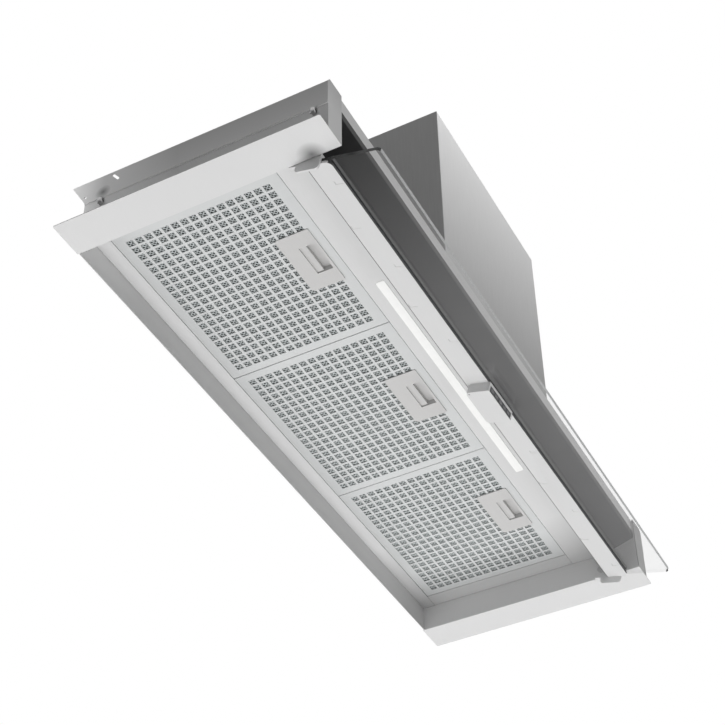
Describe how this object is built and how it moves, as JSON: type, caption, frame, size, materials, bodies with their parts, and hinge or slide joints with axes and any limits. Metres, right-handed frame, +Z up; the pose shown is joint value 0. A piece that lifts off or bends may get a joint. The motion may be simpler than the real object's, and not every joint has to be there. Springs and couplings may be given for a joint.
{
  "type": "integrated range hood",
  "caption": "Built-in range hood with a flanged steel canopy, perforated grease filters, light strip, tilting glass visor with a control handle, and a blower housing above.",
  "frame": {"origin": "middle of the front edge of the two side flanges, on the plane of their underside, which closes the cabinet's bottom", "axes": "+X to the right as seen from the front, +Y from the front towards the wall, +Z up"},
  "size_m": [0.898, 0.3511, 0.3972],
  "materials": {
    "stainless": "satin",
    "stainless_dark": "satin",
    "galvanized": "matt",
    "black_sheet": "matt",
    "screw_steel": "polished",
    "diffuser": "milky",
    "circuit_board": "matt",
    "aluminium_channel": "anodised",
    "black_plastic": "matt",
    "grey_plastic": "matt",
    "motor_metal": "painted",
    "shaft_steel": "ground",
    "fan_sheet": "rolled",
    "glass": "clear",
    "visor_aluminium": "satin anodised",
    "filter_aluminium": "rolled",
    "mesh_aluminium": "expanded",
    "latch_metal": "satin",
    "bush_plastic": "matt",
    "button_plastic": "gloss"
  },
  "bodies": {
    "hood": {"canopy_tray": "stainless", "front_panel": "stainless", "rear_ledge": "stainless", "filler_left": "stainless_dark", "filler_right": "stainless_dark", "filter_rail_left": "galvanized", "filter_rail_right": "galvanized", "plenum_cover": "stainless", "cover_screws": "screw_steel", "front_rail": "stainless", "slot_baffle": "black_sheet", "side_bracket_left": "stainless", "side_bracket_right": "stainless", "fixing_screws": "screw_steel", "led_diffuser": "diffuser", "led_board": "circuit_board", "led_channel": "aluminium_channel", "housing_wrap": "stainless", "housing_top": "stainless", "housing_screws": "screw_steel", "blower_scroll": "grey_plastic", "inlet_rings": "grey_plastic", "motor_bracket": "galvanized", "motor_body": "motor_metal", "duct_collar": "black_plastic", "power_module": "black_plastic", "module_lid": "black_plastic", "cable_gland": "black_plastic", "pivot_bushes": "bush_plastic"},
    "rotor": {"rotor_shaft": "shaft_steel", "impeller": "fan_sheet"},
    "flap_front": {"flap_front": "grey_plastic"},
    "flap_rear": {"flap_rear": "grey_plastic"},
    "visor": {"pivot_pins": "screw_steel", "glass_pane": "glass", "visor_profile": "visor_aluminium", "clamp_bar": "aluminium_channel", "visor_screws": "screw_steel", "end_cap_left": "stainless_dark", "end_cap_right": "stainless_dark", "handle": "visor_aluminium", "control_fascia": "black_plastic", "control_board": "circuit_board"},
    "button_1": {"button_1": "button_plastic"},
    "button_2": {"button_2": "button_plastic"},
    "button_3": {"button_3": "button_plastic"},
    "button_4": {"button_4": "button_plastic"},
    "button_5": {"button_5": "button_plastic"},
    "filter_1": {"filter_frame_1": "filter_aluminium", "filter_mesh_1": "mesh_aluminium", "latch_plate_1": "latch_metal"},
    "latch_1": {"latch_slider_1": "latch_metal"},
    "filter_2": {"filter_frame_2": "filter_aluminium", "filter_mesh_2": "mesh_aluminium", "latch_plate_2": "latch_metal"},
    "latch_2": {"latch_slider_2": "latch_metal"},
    "filter_3": {"filter_frame_3": "filter_aluminium", "filter_mesh_3": "mesh_aluminium", "latch_plate_3": "latch_metal"},
    "latch_3": {"latch_slider_3": "latch_metal"}
  },
  "joints": [
    {"name": "visor_tilt", "type": "hinge", "parent": "hood", "child": "visor", "pos_m": [0, 0.05, 0.01], "axis": [-1, 0, 0], "range_deg": [0, 15.2]},
    {"name": "button_1_press", "type": "slide", "parent": "visor", "child": "button_1", "axis": [0, 0.965, 0.2622], "range_m": [0, 0.0008], "stiffness_N_per_m": 800},
    {"name": "button_2_press", "type": "slide", "parent": "visor", "child": "button_2", "axis": [0, 0.965, 0.2622], "range_m": [0, 0.0008], "stiffness_N_per_m": 800},
    {"name": "button_3_press", "type": "slide", "parent": "visor", "child": "button_3", "axis": [0, 0.965, 0.2622], "range_m": [0, 0.0008], "stiffness_N_per_m": 800},
    {"name": "button_4_press", "type": "slide", "parent": "visor", "child": "button_4", "axis": [0, 0.965, 0.2622], "range_m": [0, 0.0008], "stiffness_N_per_m": 800},
    {"name": "button_5_press", "type": "slide", "parent": "visor", "child": "button_5", "axis": [0, 0.965, 0.2622], "range_m": [0, 0.0008], "stiffness_N_per_m": 800},
    {"name": "filter_1_swing", "type": "hinge", "parent": "hood", "child": "filter_1", "pos_m": [-0.25323, 0.291, 0.034], "axis": [1, 0, 0], "range_deg": [0, 70]},
    {"name": "latch_1_slide", "type": "slide", "parent": "filter_1", "child": "latch_1", "axis": [0, 1, 0], "range_m": [0, 0.005], "stiffness_N_per_m": 400},
    {"name": "filter_2_swing", "type": "hinge", "parent": "hood", "child": "filter_2", "pos_m": [0, 0.291, 0.034], "axis": [1, 0, 0], "range_deg": [0, 70]},
    {"name": "latch_2_slide", "type": "slide", "parent": "filter_2", "child": "latch_2", "axis": [0, 1, 0], "range_m": [0, 0.005], "stiffness_N_per_m": 400},
    {"name": "filter_3_swing", "type": "hinge", "parent": "hood", "child": "filter_3", "pos_m": [0.25323, 0.291, 0.034], "axis": [1, 0, 0], "range_deg": [0, 70]},
    {"name": "latch_3_slide", "type": "slide", "parent": "filter_3", "child": "latch_3", "axis": [0, 1, 0], "range_m": [0, 0.005], "stiffness_N_per_m": 400},
    {"name": "impeller_spin", "type": "hinge", "parent": "hood", "child": "rotor", "pos_m": [0, 0.112, 0.198], "axis": [1, 0, 0], "continuous": true},
    {"name": "flap_front_open", "type": "hinge", "parent": "hood", "child": "flap_front", "pos_m": [0, 0.2098, 0.3485], "axis": [-1, 0, 0], "range_deg": [0, 78]},
    {"name": "flap_rear_open", "type": "hinge", "parent": "hood", "child": "flap_rear", "pos_m": [0, 0.2162, 0.3485], "axis": [1, 0, 0], "range_deg": [0, 78]}
  ]
}
